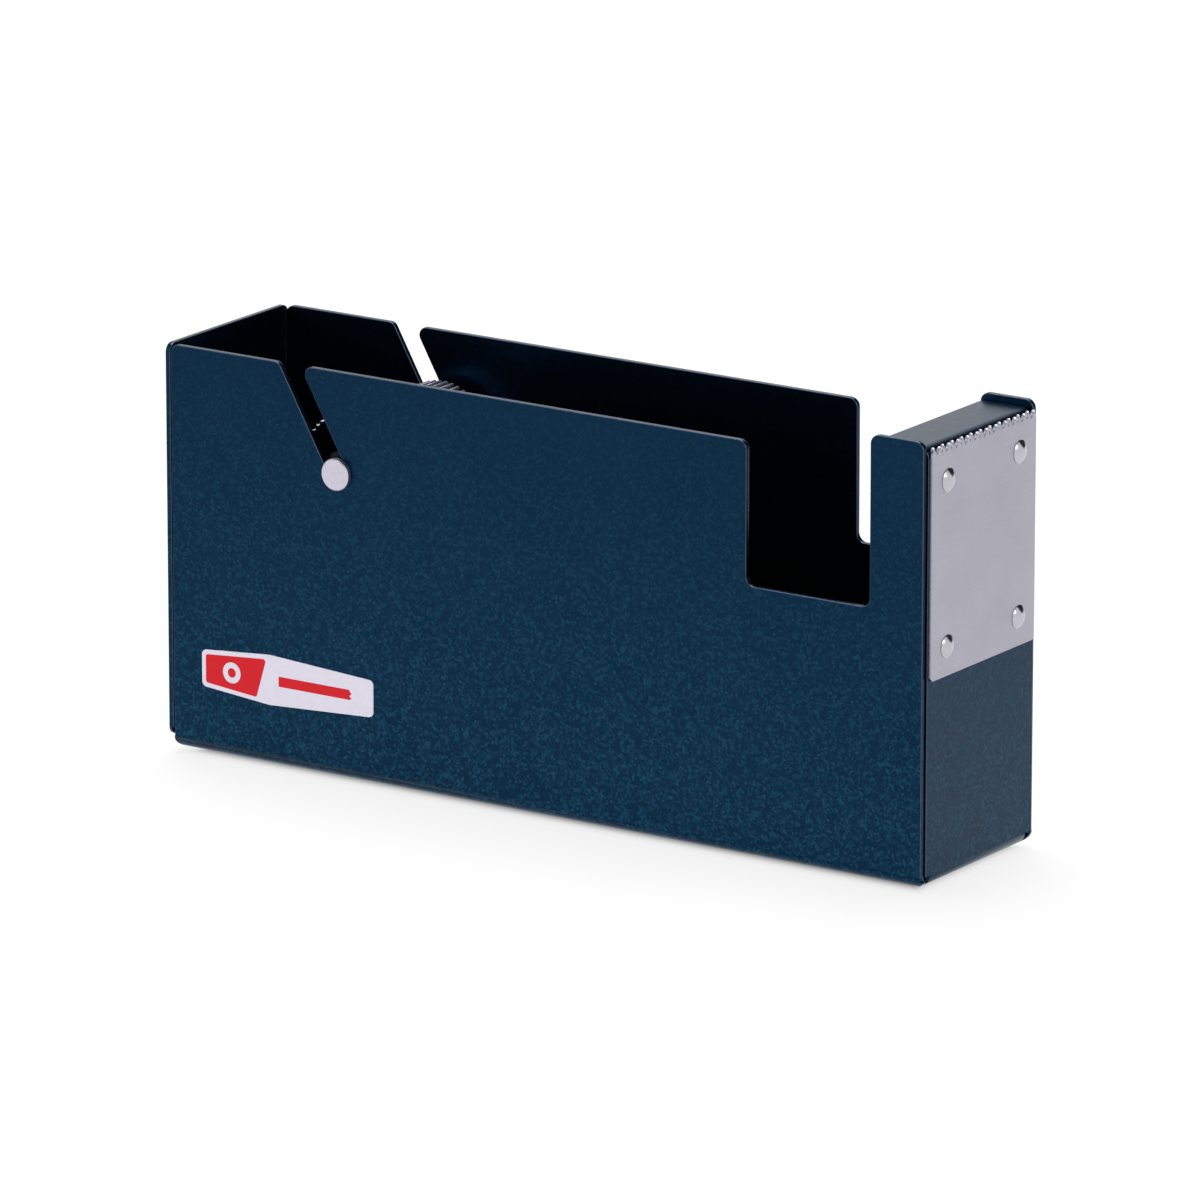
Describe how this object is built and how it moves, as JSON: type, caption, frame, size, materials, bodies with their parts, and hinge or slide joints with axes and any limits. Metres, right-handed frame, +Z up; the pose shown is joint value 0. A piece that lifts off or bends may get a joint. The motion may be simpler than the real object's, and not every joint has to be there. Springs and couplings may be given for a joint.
{
  "type": "tape dispenser",
  "caption": "Desktop tape dispenser folded from dark blue painted steel sheet, with a saw-toothed steel cutter riveted to its front and a reel on an axle that lifts out of slanted slots.",
  "frame": {"origin": "on the table, under the middle of the dispenser's overall box", "axes": "+X along the box towards the cutter, +Y across the box away from the labelled side wall, +Z up"},
  "size_m": [0.1918, 0.0456, 0.0955],
  "materials": {
    "painted_sheet": "dark blue hammered enamel with a fine lighter fleck, satin",
    "cutter_steel": "satin stainless sheet",
    "rivet_steel": "polished steel domes",
    "axle_steel": "bright zinc plate, turned",
    "reel_metal": "turned and black anodised, rubbed bright on the teeth",
    "label_film": "printed white film, satin",
    "foot_rubber": "matte black"
  },
  "bodies": {
    "box": {"body_shell": "painted_sheet", "cutter_plate": "cutter_steel", "cutter_rivets": "rivet_steel", "side_label": "label_film", "foot_front_near": "foot_rubber", "foot_front_far": "foot_rubber", "foot_back_near": "foot_rubber", "foot_back_far": "foot_rubber"},
    "spindle": {"axle_pin": "axle_steel", "axle_cap": "axle_steel"},
    "reel": {"reel_sleeve": "reel_metal", "near_rim": "reel_metal", "far_rim": "reel_metal"}
  },
  "joints": [
    {"name": "spindle_lift", "type": "slide", "parent": "box", "child": "spindle", "axis": [-0.4924, 0, 0.8704], "range_m": [0, 0.05]},
    {"name": "reel_spin", "type": "hinge", "parent": "spindle", "child": "reel", "pos_m": [-0.0513, 0, 0.0677], "axis": [0, 1, 0], "continuous": true}
  ]
}
